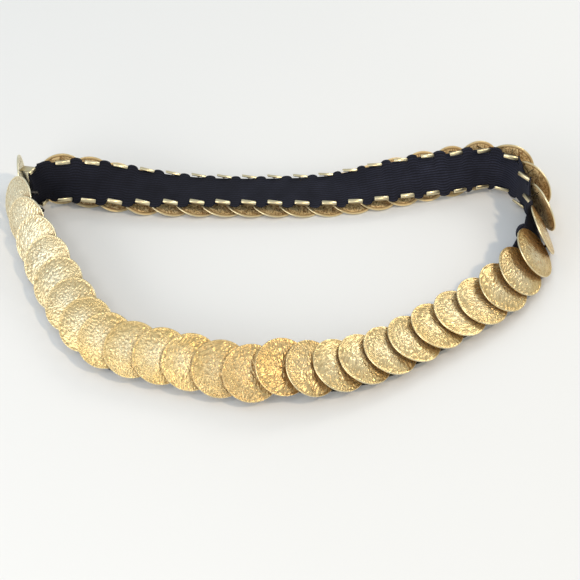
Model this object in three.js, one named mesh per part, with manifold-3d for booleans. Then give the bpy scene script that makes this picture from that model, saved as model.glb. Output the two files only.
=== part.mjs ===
// A coin belt: round coins that overlap like scales round a closed loop of wide
// elastic, lying on a table in a loose oval. Each coin has two short clips on its
// back that fold over the edges of the elastic. Millimetres, +Z up. The belt runs
// counter-clockwise seen from above, starting at the clasp in the middle of the
// front. Along the belt, "forward" is that direction, "out" faces away from the
// elastic on the coins' side, and "up" runs across the elastic's width.

import * as THREE from 'three';
import { mergeVertices } from 'three/addons/utils/BufferGeometryUtils.js';
import Module from 'manifold-3d';

const wasm = await Module();
wasm.setup();

// ---- driving dimensions ---------------------------------------------------------

const GAP = 0.3;                 // space kept between pieces that touch

const COIN_RADIUS = 15;
const COIN_THICKNESS = 0.8;
const COIN_DOME = 0.8;           // height of the back's middle over its rim
const COIN_SIDES = 16;
const COIN_STANDOFF = 4.1;       // from the elastic's middle out to the coin's back rim

const CLIP_BACK = -3.2;          // where a clip begins and ends along the belt
const CLIP_FRONT = 4.2;
const CLIP_SHEET = 0.6;          // thickness of the bent sheet
const TAB_REACH = 2.2;           // how far a tab folds in over the elastic
const TAB_DEPTH = 3.3;           // from the elastic's middle to the tab's near face

const ELASTIC_THICKNESS = 1.2;
const ELASTIC_PINCHED = 22.4;    // width between two clips of one coin
const ELASTIC_FREE = 28;         // width where it bulges between coins
const EDGE_THICKNESS = 1.0;
const SHOULDER = 1.9;            // from the elastic's edge to its full thickness
const HELD_MIDDLE = -1;          // where a section is taken within a clip

// The clasp, hidden under the coins where the two ends of the elastic meet. Heights
// are from the elastic's middle inwards.
const CRIMP_HALF_WIDTH = 9.4;    // of the sheet folded over the elastic's last end
const CRIMP_GRIP = 4;            // how much of the elastic it covers
const ELASTIC_TAIL = 1.4;        // how far that end runs on past the last clips
const TONGUE_HALF_WIDTH = 4;
const TONGUE_HEIGHT = 0.6;
const NECK_LENGTH = 1.8;         // of the tongue before it bends in line with the eye
const HOOK_TIP = 1.6;            // where it turns back, past the middle of the clasp
const HOOK_REACH = 2;            // how long it lies in line with the eye
const HOOK_MOUTH = 2.7;          // between the tongue and its turned-back end
const WIRE = 1;                  // thickness of the eye
const EYE_HALF_WIDTH = 6;
const EYE_HEIGHT = 2.5;
const PLATE_LENGTH = 4;          // of the eye's plate under the elastic's first end
const PLATE_HEIGHT = 3.1;

const TABLE_TRIM = 0.25;         // how much a coin's lowest edge is worn flat

// ---- how the belt lies ------------------------------------------------------------
// A row for each place where the course of the belt changes. coin: number of the
// coin, counted forward from the clasp; x, y: the middle of the elastic there, seen
// from above; lean: elevation of the coin's face in degrees, 90 is face up and -90
// is face down; tilt: how far the coin's rear edge stands out over the coin behind
// it, in degrees; lift: how far the coin is raised off the table.

const COINS = 47;
const COURSE = [
  { coin: 1, x: -5, y: -68, lean: 60, tilt: 20, lift: 2.6 },
  { coin: 2, x: 9, y: -68.2, lean: 67, tilt: 18, lift: 1.8 },
  { coin: 3, x: 23, y: -65.3, lean: 73, tilt: 16, lift: 0.8 },
  { coin: 5, x: 50, y: -54.3, lean: 77, tilt: 15, lift: 0 },
  { coin: 8, x: 88.6, y: -28, lean: 77, tilt: 15, lift: 0 },
  { coin: 10, x: 112.8, y: -10, lean: 65, tilt: 15, lift: 0 },
  { coin: 12, x: 131.5, y: 14.5, lean: 46, tilt: 16, lift: 0 },
  { coin: 13, x: 137.7, y: 32, lean: 30, tilt: 17, lift: 0 },
  { coin: 14, x: 139.8, y: 50, lean: 14, tilt: 20, lift: 0 },
  { coin: 15, x: 136.8, y: 68, lean: 0, tilt: 22, lift: 0 },
  { coin: 16, x: 128, y: 82.5, lean: -13, tilt: 22, lift: 0 },
  { coin: 17, x: 112.5, y: 85.5, lean: -25, tilt: 22.5, lift: 0 },
  { coin: 18, x: 97.5, y: 82.5, lean: -36, tilt: 18, lift: 0 },
  { coin: 19, x: 81.3, y: 80, lean: -47, tilt: 17, lift: 0.5 },
  { coin: 21, x: 51.3, y: 75.5, lean: -67, tilt: 15, lift: 1 },
  { coin: 23, x: 22, y: 72.7, lean: -82, tilt: 12, lift: 0 },
  { coin: 25, x: -9, y: 71.5, lean: -88, tilt: 11, lift: 0 },
  { coin: 28, x: -54, y: 71.5, lean: -87, tilt: 12, lift: 0 },
  { coin: 30, x: -85, y: 71.7, lean: -72, tilt: 14, lift: 0 },
  { coin: 33, x: -132, y: 74.3, lean: -30, tilt: 15, lift: 0 },
  { coin: 34, x: -147, y: 70.5, lean: -16, tilt: 22, lift: 0 },
  { coin: 35, x: -152.2, y: 57.5, lean: 31, tilt: 23, lift: 0 },
  { coin: 36, x: -145.5, y: 41.5, lean: 27, tilt: 23, lift: 0 },
  { coin: 38, x: -131, y: 9.5, lean: 50, tilt: 18, lift: 0 },
  { coin: 40, x: -115, y: -22, lean: 60, tilt: 14, lift: 0 },
  { coin: 42, x: -95, y: -47, lean: 62, tilt: 14, lift: 0 },
  { coin: 45, x: -51, y: -62, lean: 61, tilt: 14, lift: 0 },
  { coin: 47, x: -20, y: -69.5, lean: 57, tilt: 14, lift: 0 },
];

// The coin that has sprung away from its clips. forward, raise and out: where it
// stands, from their middle; splay and pitch: how far it is turned further about the
// clips' up direction and then leaned back, in degrees; clipBack: where its clips
// begin, as they are bent.
const SPRUNG_COIN = {
  coin: 34, forward: -0.8, raise: 1.2, out: 10.8, splay: 37, pitch: 9, clipBack: -0.5,
};
const STRAP_HALF_WIDTH = 4;

// ---- materials --------------------------------------------------------------------

const coinGold = new THREE.MeshStandardMaterial({
  color: '#c9a45c', roughness: 0.38, metalness: 0.9,
});
const elasticBlack = new THREE.MeshStandardMaterial({
  color: '#14141d', roughness: 0.9, metalness: 0,
});
const claspGold = new THREE.MeshStandardMaterial({
  color: '#d8bc80', roughness: 0.3, metalness: 0.95,
});

// ---- solids -----------------------------------------------------------------------

function toManifold(geometry) {
  const bare = geometry.clone();
  bare.deleteAttribute('normal');
  bare.deleteAttribute('uv');
  const merged = mergeVertices(bare, 1e-4);
  return new wasm.Manifold(new wasm.Mesh({
    numProp: 3,
    vertProperties: new Float32Array(merged.attributes.position.array),
    triVerts: new Uint32Array(merged.index.array),
  }));
}

function toGeometry(solid) {
  const mesh = solid.getMesh();
  const geometry = new THREE.BufferGeometry();
  geometry.setAttribute('position', new THREE.BufferAttribute(mesh.vertProperties, 3));
  geometry.setIndex(new THREE.BufferAttribute(mesh.triVerts, 1));
  return geometry;
}

function box(x0, x1, y0, y1, z0, z1) {
  const geometry = new THREE.BoxGeometry(x1 - x0, y1 - y0, z1 - z0);
  return geometry.translate((x0 + x1) / 2, (y0 + y1) / 2, (z0 + z1) / 2);
}

// ---- the belt's course ------------------------------------------------------------

// Value of one column of COURSE at any place along the belt, on a smooth closed
// curve through the rows.
function courseAt(column, place) {
  const rows = COURSE.length;
  let after = COURSE.findIndex((row) => row.coin > place);
  if (after < 0) after = rows;
  const knot = (index) => {
    const turn = Math.floor(index / rows);
    const row = COURSE[index - turn * rows];
    return { at: row.coin + turn * COINS, value: row[column] };
  };
  const [k0, k1, k2, k3] = [-2, -1, 0, 1].map((step) => knot(after + step));
  const span = k2.at - k1.at;
  const slope1 = ((k2.value - k0.value) / (k2.at - k0.at)) * span;
  const slope2 = ((k3.value - k1.value) / (k3.at - k1.at)) * span;
  const t = (place - k1.at) / span;
  const rise = k2.value - k1.value;
  return k1.value + t * slope1 + t * t * (3 * rise - 2 * slope1 - slope2)
    + t * t * t * (slope1 + slope2 - 2 * rise);
}

// Points of the coin's half profile as [radius, height over the back's rim], grown by
// so much on every side.
const DOME_RING = 8;
const domeAt = (radius) => COIN_DOME * (1 - (radius / COIN_RADIUS) ** 2);
const coinProfile = (grown) => [
  [0, COIN_DOME - grown],
  [DOME_RING, domeAt(DOME_RING) - grown],
  [COIN_RADIUS + grown, -grown],
  [COIN_RADIUS + grown, COIN_THICKNESS + grown],
  [DOME_RING, domeAt(DOME_RING) + COIN_THICKNESS + grown],
  [0, COIN_DOME + COIN_THICKNESS + grown],
];

// The points past the coin's rim that may reach the table first, in the clips' frame:
// the far corners of the tabs and the free edges of the elastic.
const TAB_FAR = TAB_DEPTH + CLIP_SHEET;
const CLIP_OUTER = ELASTIC_PINCHED / 2 + GAP + CLIP_SHEET;
const LOW_POINTS = [-1, 1].flatMap((side) => [
  [CLIP_FRONT, side * CLIP_OUTER, -TAB_FAR],
  [CLIP_BACK, side * CLIP_OUTER, -TAB_FAR],
  [0, side * ELASTIC_FREE / 2, -ELASTIC_THICKNESS / 2],
]);

// How far one coin with its clips and elastic reaches below the middle of its clips.
// The coin's own rim is worn flat where it stands, so it may go a little lower.
function reachBelow(forward, up, out) {
  const slant = Math.sqrt(1 - out.z * out.z);
  const centre = out.z * COIN_STANDOFF;
  const rim = coinProfile(0).map(([r, h]) => r * slant - h * out.z - centre - TABLE_TRIM);
  const rest = LOW_POINTS.map(([f, u, n]) => -(f * forward.z + u * up.z + n * out.z));
  return Math.max(...rim, ...rest);
}

// The middle of the elastic at any place along the belt, seen from above.
function courseAbove(place) {
  return new THREE.Vector3(courseAt('x', place), courseAt('y', place), 0);
}

// The frame of one coin's clips: origin in the middle of the elastic, and the
// directions forward, up and out, already turned by the coin's lean and tilt.
// "along" is the direction of the belt there.
function clipFrame(coin, along) {
  const level = new THREE.Vector3(along.y, -along.x, 0).normalize();
  const rise = level.clone().cross(along);
  const lean = THREE.MathUtils.degToRad(courseAt('lean', coin));
  const tilt = THREE.MathUtils.degToRad(courseAt('tilt', coin));
  const facing = level.clone().multiplyScalar(Math.cos(lean))
    .addScaledVector(rise, Math.sin(lean));
  const up = rise.clone().multiplyScalar(Math.cos(lean))
    .addScaledVector(level, -Math.sin(lean));
  const forward = along.clone().applyAxisAngle(up, tilt);
  const out = facing.clone().applyAxisAngle(up, tilt);
  const origin = courseAbove(coin);
  origin.z = reachBelow(forward, up, out) + courseAt('lift', coin);
  return { origin, forward, up, out };
}

// The frames of all coins, first on a level course and then on the slopes that the
// first frames' heights give.
function beltFrames() {
  const coins = Array.from({ length: COINS }, (_, index) => index + 1);
  const level = coins.map((coin) => {
    const along = courseAbove(coin + 0.5).sub(courseAbove(coin - 0.5)).normalize();
    return clipFrame(coin, along);
  });
  return coins.map((coin, index) => {
    const next = level[(index + 1) % COINS].origin;
    const last = level[(index + COINS - 1) % COINS].origin;
    return clipFrame(coin, next.clone().sub(last).normalize());
  });
}

const frames = beltFrames();

function placeIn(frame, forward, up, out) {
  return frame.origin.clone().addScaledVector(frame.forward, forward)
    .addScaledVector(frame.up, up).addScaledVector(frame.out, out);
}

function frameMatrix(frame) {
  const matrix = new THREE.Matrix4().makeBasis(frame.forward, frame.up, frame.out);
  return matrix.setPosition(frame.origin);
}

// ---- coins ------------------------------------------------------------------------

// The coin's own place in its clips' frame.
function coinPlace(coin) {
  if (coin !== SPRUNG_COIN.coin) {
    return new THREE.Matrix4().makeTranslation(0, 0, COIN_STANDOFF);
  }
  const turn = new THREE.Matrix4().makeRotationY(
    THREE.MathUtils.degToRad(SPRUNG_COIN.splay));
  turn.multiply(new THREE.Matrix4().makeRotationX(
    -THREE.MathUtils.degToRad(SPRUNG_COIN.pitch)));
  return turn.setPosition(SPRUNG_COIN.forward, SPRUNG_COIN.raise, SPRUNG_COIN.out);
}

// A coin's disc grown by so much, in its clips' frame: a lathe with its axis along
// "out".
function coinDisc(coin, grown) {
  const profile = coinProfile(grown).map(([r, h]) => new THREE.Vector2(r, h));
  const disc = new THREE.LatheGeometry(profile, COIN_SIDES);
  return disc.rotateX(Math.PI / 2).applyMatrix4(coinPlace(coin));
}

// One clip, on the side of the elastic that "side" gives: a web past the edge of the
// elastic, from the coin's back, and a tab folded in over the elastic's inner face.
// "back" is where it begins along the belt.
function clip(side, back) {
  const root = COIN_STANDOFF + domeAt(CLIP_OUTER) + COIN_THICKNESS / 2;
  const web = box(back, CLIP_FRONT, CLIP_OUTER - CLIP_SHEET, CLIP_OUTER,
    -TAB_FAR, root);
  const tab = box(back, CLIP_FRONT, CLIP_OUTER - TAB_REACH, CLIP_OUTER,
    -TAB_FAR, -TAB_DEPTH);
  const bent = toManifold(web).add(toManifold(tab));
  return side > 0 ? bent : bent.mirror([0, 1, 0]);
}

// The strap that still holds a sprung coin: across the elastic from clip to clip,
// then bent up at its front end to the coin's back.
function sprungStrap() {
  const front = CLIP_FRONT;
  const across = box(SPRUNG_COIN.clipBack, front, -CLIP_OUTER, CLIP_OUTER,
    COIN_STANDOFF, COIN_STANDOFF + CLIP_SHEET);
  const slope = Math.tan(THREE.MathUtils.degToRad(SPRUNG_COIN.splay));
  const top = SPRUNG_COIN.out + (SPRUNG_COIN.forward - front) * slope;
  const bent = box(front - CLIP_SHEET, front, -STRAP_HALF_WIDTH, STRAP_HALF_WIDTH,
    COIN_STANDOFF, top + COIN_DOME);
  return toManifold(across).add(toManifold(bent));
}

const tableTop = toManifold(box(-300, 300, -300, 300, -50, 0));

function coinMesh(coin) {
  const frame = frames[coin - 1];
  const sprung = coin === SPRUNG_COIN.coin;
  const back = sprung ? SPRUNG_COIN.clipBack : CLIP_BACK;
  let solid = toManifold(coinDisc(coin, 0)).add(clip(1, back)).add(clip(-1, back));
  if (sprung) solid = solid.add(sprungStrap());
  const world = frameMatrix(frame);
  const standing = toGeometry(solid).applyMatrix4(world);
  const trimmed = toGeometry(toManifold(standing).subtract(tableTop));
  trimmed.applyMatrix4(world.clone().invert());
  const mesh = new THREE.Mesh(trimmed, coinGold);
  mesh.name = `coin_${String(coin).padStart(2, '0')}`;
  mesh.quaternion.setFromRotationMatrix(world);
  mesh.position.copy(frame.origin);
  return mesh;
}

// ---- elastic ----------------------------------------------------------------------

// How far a place on the elastic's outer face gives way inwards, so that the coin
// behind, whose leading edge lies between the elastic and this coin, stays clear.
// The place stands for its surroundings, out to REACH_ROUND on every side.
const REACH_ROUND = 1.2;
const AROUND = [-1, 0, 1].flatMap((f) => [-1, 0, 1].map(
  (u) => [REACH_ROUND * f, REACH_ROUND * u]));

function giveAt(frame, forward, up, out, behind) {
  const margin = 1.5 * GAP;
  const gives = AROUND.map(([f, u]) => {
    const place = placeIn(frame, forward + f, up + u, out).applyMatrix4(behind.inverse);
    const radius = Math.hypot(place.x, place.y);
    if (radius > COIN_RADIUS + margin) return 0;
    const back = domeAt(Math.min(radius, COIN_RADIUS)) - margin;
    return (place.z - back) / frame.out.dot(behind.out);
  });
  return Math.max(0, ...gives);
}

// The disc of a coin as the elastic meets it: its direction out, and the matrix from
// the world to the disc, with its back's rim at height 0.
function discOf(coin) {
  const world = frameMatrix(frames[coin - 1]).multiply(coinPlace(coin));
  const out = new THREE.Vector3().setFromMatrixColumn(world, 2);
  return { out, inverse: world.invert() };
}

// One cross-section as a ring of points, from one edge over the outer face to the
// other edge and back over the inner face. Both faces give way together, at the edges
// no further than "room".
function sectionRing(frame, forward, width, behind, room) {
  const edge = width / 2;
  const shoulder = edge - SHOULDER;
  const thin = EDGE_THICKNESS / 2;
  const full = ELASTIC_THICKNESS / 2;
  const across = [
    [-edge, thin, room], [-shoulder, full, room], [-edge / 2, full, Infinity],
    [0, full, Infinity],
    [edge / 2, full, Infinity], [shoulder, full, room], [edge, thin, room],
  ];
  const gives = across.map(([up, out, most]) => Math.min(
    most - out, giveAt(frame, forward, up, out, behind)));
  const outer = across.map(([up, out], index) => placeIn(
    frame, forward, up, out - gives[index]));
  const inner = across.map(([up, out], index) => placeIn(
    frame, forward, up, -out - gives[index]));
  return [...outer, ...inner.reverse()];
}

// Sections from the clips of the first coin to those of the last: some within each
// coin's clips and one in the middle of each free stretch.
function elasticRings() {
  const rings = [];
  const back = CLIP_BACK - 2 * GAP;
  const front = CLIP_FRONT + 2 * GAP;
  const room = TAB_DEPTH - GAP;
  frames.forEach((frame, index) => {
    const behind = discOf(index === 0 ? COINS : index);
    [back, HELD_MIDDLE, front].forEach((forward) => {
      rings.push(sectionRing(frame, forward, ELASTIC_PINCHED, behind, room));
    });
    if (index === COINS - 1) {
      rings.push(sectionRing(frame, front + ELASTIC_TAIL, ELASTIC_PINCHED, behind, room));
      return;
    }
    const next = frames[index + 1];
    const middle = {
      origin: placeIn(frame, front, 0, 0).lerp(placeIn(next, back, 0, 0), 0.5),
      forward: frame.forward.clone().add(next.forward).normalize(),
      up: frame.up.clone().add(next.up).normalize(),
      out: frame.out.clone().add(next.out).normalize(),
    };
    rings.push(sectionRing(middle, 0, ELASTIC_FREE, discOf(index + 1), Infinity));
  });
  return rings;
}

// A closed solid through a row of rings that all have the same number of points.
function loft(rings) {
  const sides = rings[0].length;
  const positions = rings.flat().flatMap((point) => point.toArray());
  const faces = [];
  for (let ring = 0; ring + 1 < rings.length; ring += 1) {
    for (let side = 0; side < sides; side += 1) {
      const a = ring * sides + side;
      const b = ring * sides + ((side + 1) % sides);
      faces.push(a, a + sides, b, b, a + sides, b + sides);
    }
  }
  const last = (rings.length - 1) * sides;
  for (let side = 1; side + 1 < sides; side += 1) {
    faces.push(0, side, side + 1);
    faces.push(last, last + side + 1, last + side);
  }
  const geometry = new THREE.BufferGeometry();
  geometry.setAttribute('position', new THREE.Float32BufferAttribute(positions, 3));
  geometry.setIndex(faces);
  return geometry;
}

// The elastic, dented where a coin's leading edge presses into it. Crumbs that the
// dents leave loose are dropped.
function elasticMesh() {
  let solid = toManifold(loft(elasticRings()));
  frames.forEach((frame, index) => {
    const pressing = coinDisc(index + 1, GAP).applyMatrix4(frameMatrix(frame));
    solid = solid.subtract(toManifold(pressing));
  });
  solid = solid.subtract(tableTop);
  const band = solid.decompose().sort((a, b) => b.volume() - a.volume())[0];
  const mesh = new THREE.Mesh(toGeometry(band), elasticBlack);
  mesh.name = 'elastic_band';
  return mesh;
}

// ---- clasp ------------------------------------------------------------------------

// The frame halfway between the two ends of the elastic, and how far they are apart.
function claspFrame() {
  const first = frames[0];
  const last = frames[COINS - 1];
  const back = CLIP_BACK - 2 * GAP;
  const give = giveAt(first, back, 0, ELASTIC_THICKNESS / 2, discOf(COINS));
  const start = placeIn(first, back, 0, -give);
  const end = placeIn(last, CLIP_FRONT + 2 * GAP, 0, 0);
  const forward = start.clone().sub(end).normalize();
  const up = first.up.clone().add(last.up);
  up.addScaledVector(forward, -up.dot(forward)).normalize();
  const out = forward.clone().cross(up);
  const origin = start.clone().lerp(end, 0.5);
  return { origin, forward, up, out, between: start.distanceTo(end) };
}

const placed = (geometry, frame) => toManifold(geometry.applyMatrix4(frameMatrix(frame)));

function claspMesh(name, solid) {
  const mesh = new THREE.Mesh(toGeometry(solid), claspGold);
  mesh.name = name;
  return mesh;
}

// A sheet folded over the elastic's last end, and a tongue that goes on from the fold
// and turns back on the inner side.
function hookMesh(clasp) {
  const near = ELASTIC_THICKNESS / 2 + GAP;
  const far = near + CLIP_SHEET;
  const fold = CLIP_FRONT + 3 * GAP + ELASTIC_TAIL;
  const w = CRIMP_HALF_WIDTH;
  const t = TONGUE_HALF_WIDTH;
  const crimp = [
    box(fold - CRIMP_GRIP, fold + CLIP_SHEET, -w, w, near, far),
    box(fold - CRIMP_GRIP, fold + CLIP_SHEET, -w, w, -far, -near),
    box(fold, fold + CLIP_SHEET, -w, w, -far, far),
    box(fold, fold + NECK_LENGTH, -t, t, -CLIP_SHEET / 2, CLIP_SHEET / 2),
  ].map((part) => placed(part, frames[COINS - 1]));
  const low = -TONGUE_HEIGHT - CLIP_SHEET;
  const turned = low - HOOK_MOUTH;
  const bend = HOOK_TIP - HOOK_REACH;
  const tongue = [
    box(bend, HOOK_TIP, -t, t, low, -TONGUE_HEIGHT),
    box(HOOK_TIP - CLIP_SHEET, HOOK_TIP, -t, t, turned - CLIP_SHEET, -TONGUE_HEIGHT),
    box(bend, HOOK_TIP, -t, t, turned - CLIP_SHEET, turned),
  ].map((part) => placed(part, clasp));
  const solid = [...crimp, ...tongue].reduce((all, part) => all.add(part));
  return claspMesh('hook_end', solid);
}

// A square eye of wire that the tongue is hooked through, on a plate under the
// elastic's first end.
function eyeMesh(clasp) {
  const far = HOOK_TIP - CLIP_SHEET - GAP - WIRE;
  const near = clasp.between / 2;
  const w = EYE_HALF_WIDTH;
  const top = -EYE_HEIGHT;
  const eye = [
    box(far, far + WIRE, -w, w, top - WIRE, top),
    box(far, near, -w, WIRE - w, top - WIRE, top),
    box(far, near, w - WIRE, w, top - WIRE, top),
  ].map((part) => placed(part, clasp));
  const start = CLIP_BACK + WIRE;
  const plate = box(start, start + PLATE_LENGTH, -w, w, -PLATE_HEIGHT - WIRE, -PLATE_HEIGHT);
  return claspMesh('eye_end', eye.reduce(
    (all, part) => all.add(part), placed(plate, frames[0])));
}

// ---- the whole belt ---------------------------------------------------------------

const belt = new THREE.Group();
belt.add(elasticMesh());
for (let coin = 1; coin <= COINS; coin += 1) belt.add(coinMesh(coin));
const clasp = claspFrame();
belt.add(hookMesh(clasp), eyeMesh(clasp));

const bounds = new THREE.Box3().setFromObject(belt, true);
const middle = bounds.getCenter(new THREE.Vector3());
belt.position.set(-middle.x, -middle.y, 0);

const model = new THREE.Group();
model.add(belt);

export default model;
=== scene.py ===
"""Looks of a coin belt that lies in a loose oval on a table.

Round hammered coins overlap like scales round a loop of wide black elastic. Each
coin has two short clips on its back that fold over the edges of the elastic. All
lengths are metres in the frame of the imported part, +Z up. Along the belt, "forward"
runs counter-clockwise seen from above, "out" faces away from the elastic on the
coins' side, and "up" runs across the elastic's width.
"""

import logging  # noqa: E402
import math  # noqa: E402
from dataclasses import dataclass, field  # noqa: E402
from enum import Enum  # noqa: E402
from typing import Iterable, Sequence  # noqa: E402

import bpy  # noqa: E402
import numpy as np  # noqa: E402
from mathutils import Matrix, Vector  # noqa: E402


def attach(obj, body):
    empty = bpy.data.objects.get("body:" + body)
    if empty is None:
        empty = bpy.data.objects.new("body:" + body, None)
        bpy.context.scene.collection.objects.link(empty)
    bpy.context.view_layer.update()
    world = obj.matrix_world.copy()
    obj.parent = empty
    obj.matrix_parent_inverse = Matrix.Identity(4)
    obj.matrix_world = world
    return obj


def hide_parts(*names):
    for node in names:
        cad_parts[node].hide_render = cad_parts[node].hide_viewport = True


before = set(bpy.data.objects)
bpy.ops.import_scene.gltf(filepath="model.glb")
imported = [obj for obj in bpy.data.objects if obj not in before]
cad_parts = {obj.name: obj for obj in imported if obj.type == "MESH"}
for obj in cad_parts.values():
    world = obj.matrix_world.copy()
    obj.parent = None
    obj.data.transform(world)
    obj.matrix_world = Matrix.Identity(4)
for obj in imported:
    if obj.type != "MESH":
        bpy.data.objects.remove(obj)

LOG = logging.getLogger("coin_belt")
MM = 0.001
COINS = 47
TABLE_GAP = 0.02 * MM
ELASTIC_FREE = 28 * MM
ELASTIC_THICKNESS = 1.2 * MM
Array = np.ndarray
Socket = bpy.types.NodeSocket
Colour = tuple[float, float, float]
Place = tuple[float, float, float]
Span = tuple[float, float]
Curve = tuple[tuple[float, ...], tuple[float, ...]]


# ---- noise for relief -----------------------------------------------------------


def scatter(across: Array, along: Array, seed: int) -> Array:
    """Gives every cell of a grid its own number.

    Args:
        across: Whole numbers of the cells' columns.
        along: Whole numbers of the cells' rows.
        seed: Which set of numbers to give.

    Returns:
        Numbers from 0 to 1, the same ones for the same cell and seed.
    """
    mixed = (
        across.astype(np.int64) * 374761393
        + along.astype(np.int64) * 668265263
        + seed * 974634777
    ) & 0xFFFFFFFF
    mixed = ((mixed ^ (mixed >> 13)) * 1274126177) & 0xFFFFFFFF
    mixed = ((mixed ^ (mixed >> 16)) * 2246822519) & 0xFFFFFFFF
    return ((mixed ^ (mixed >> 15)) & 0xFFFFFF) / float(0x1000000)


def ripple(points: Array, seed: int) -> Array:
    """Smooth random waves one unit long.

    Args:
        points: Places in the plane, the last axis being their two coordinates.
        seed: Which set of waves.

    Returns:
        Heights from about -1 to 1, one for each place.
    """
    cell = np.floor(points).astype(np.int64)
    part = points - cell
    fade = part**3 * (part * (part * 6 - 15) + 10)
    total = np.zeros(points.shape[:-1])
    for step_x in (0, 1):
        for step_y in (0, 1):
            turn = 2 * math.pi * scatter(cell[..., 0] + step_x, cell[..., 1] + step_y, seed)
            slope = (part[..., 0] - step_x) * np.cos(turn)
            slope += (part[..., 1] - step_y) * np.sin(turn)
            weight = np.abs(1 - step_x - fade[..., 0]) * np.abs(1 - step_y - fade[..., 1])
            total += slope * weight
    return total * 1.6


def nearest_dot(points: Array, seed: int) -> Array:
    """How far each place is from the nearest of many scattered dots, one a unit square.

    Args:
        points: Places in the plane, the last axis being their two coordinates.
        seed: Which set of dots.

    Returns:
        Distances, one for each place.
    """
    cell = np.floor(points).astype(np.int64)
    nearest = np.full(points.shape[:-1], 9.0)
    for step_x in (-1, 0, 1):
        for step_y in (-1, 0, 1):
            near_x = cell[..., 0] + step_x
            near_y = cell[..., 1] + step_y
            dot_x = near_x + scatter(near_x, near_y, seed)
            dot_y = near_y + scatter(near_x, near_y, seed + 7)
            away = np.hypot(points[..., 0] - dot_x, points[..., 1] - dot_y)
            nearest = np.minimum(nearest, away)
    return nearest


def ease(value: Array, low: float, high: float) -> Array:
    """Goes smoothly from 0 at low to 1 at high."""
    share = np.clip((value - low) / (high - low), 0, 1)
    return share * share * (3 - 2 * share)


# ---- how the belt lies ------------------------------------------------------------


@dataclass(frozen=True)
class Lie:
    """How the belt lies at one coin.

    x and y are the middle of the elastic seen from above, in millimetres; lean is the
    elevation of the coin's face in degrees, 90 being face up and -90 face down; tilt
    is how far the coin's rear edge stands out over the coin behind it, in degrees; lift
    is how far the coin is raised off the table, in millimetres.
    """

    coin: int
    x: float
    y: float
    lean: float
    tilt: float
    lift: float = 0.0


COURSE: tuple[Lie, ...] = (
    Lie(1, -5, -68, 60, 20, 2.6),
    Lie(2, 9, -68.2, 67, 18, 1.8),
    Lie(3, 23, -65.3, 73, 16, 0.8),
    Lie(5, 50, -54.3, 77, 15),
    Lie(8, 88.6, -28, 77, 15),
    Lie(10, 112.8, -10, 65, 15),
    Lie(12, 131.5, 14.5, 46, 16),
    Lie(13, 137.7, 32, 30, 17),
    Lie(14, 139.8, 50, 14, 20),
    Lie(15, 136.8, 68, 0, 22),
    Lie(16, 128, 82.5, -13, 22),
    Lie(17, 112.5, 85.5, -25, 22.5),
    Lie(18, 97.5, 82.5, -36, 18),
    Lie(19, 81.3, 80, -47, 17, 0.5),
    Lie(21, 51.3, 75.5, -67, 15, 1),
    Lie(23, 22, 72.7, -82, 12),
    Lie(25, -9, 71.5, -88, 11),
    Lie(28, -54, 71.5, -87, 12),
    Lie(30, -85, 71.7, -72, 14),
    Lie(33, -132, 74.3, -30, 15),
    Lie(34, -147, 70.5, -16, 22),
    Lie(35, -152.2, 57.5, 31, 23),
    Lie(36, -145.5, 41.5, 27, 23),
    Lie(38, -131, 9.5, 50, 18),
    Lie(40, -115, -22, 60, 14),
    Lie(42, -95, -47, 62, 14),
    Lie(45, -51, -62, 61, 14),
    Lie(47, -20, -69.5, 57, 14),
)

# From the course's own origin to the middle of the belt's plan box.
COURSE_TO_FRAME = np.array([7.4703, -6.5161, 0.0]) * MM


@dataclass(frozen=True)
class CoinSize:
    """Sizes of a plain coin with its clips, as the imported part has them."""

    radius: float = 15 * MM
    thickness: float = 0.8 * MM
    dome: float = 0.8 * MM
    standoff: float = 4.1 * MM
    clip_back: float = -3.2 * MM
    clip_front: float = 4.2 * MM
    clip_outer: float = 12.1 * MM
    clip_sheet: float = 0.6 * MM
    tab_reach: float = 2.2 * MM
    tab_depth: float = 3.3 * MM
    table_trim: float = 0.25 * MM

    def dome_at(self, radius: Array | float) -> Array | float:
        """Height of the domed sheet over its rim at a distance from the middle."""
        return self.dome * (1 - (radius / self.radius) ** 2)


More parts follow.
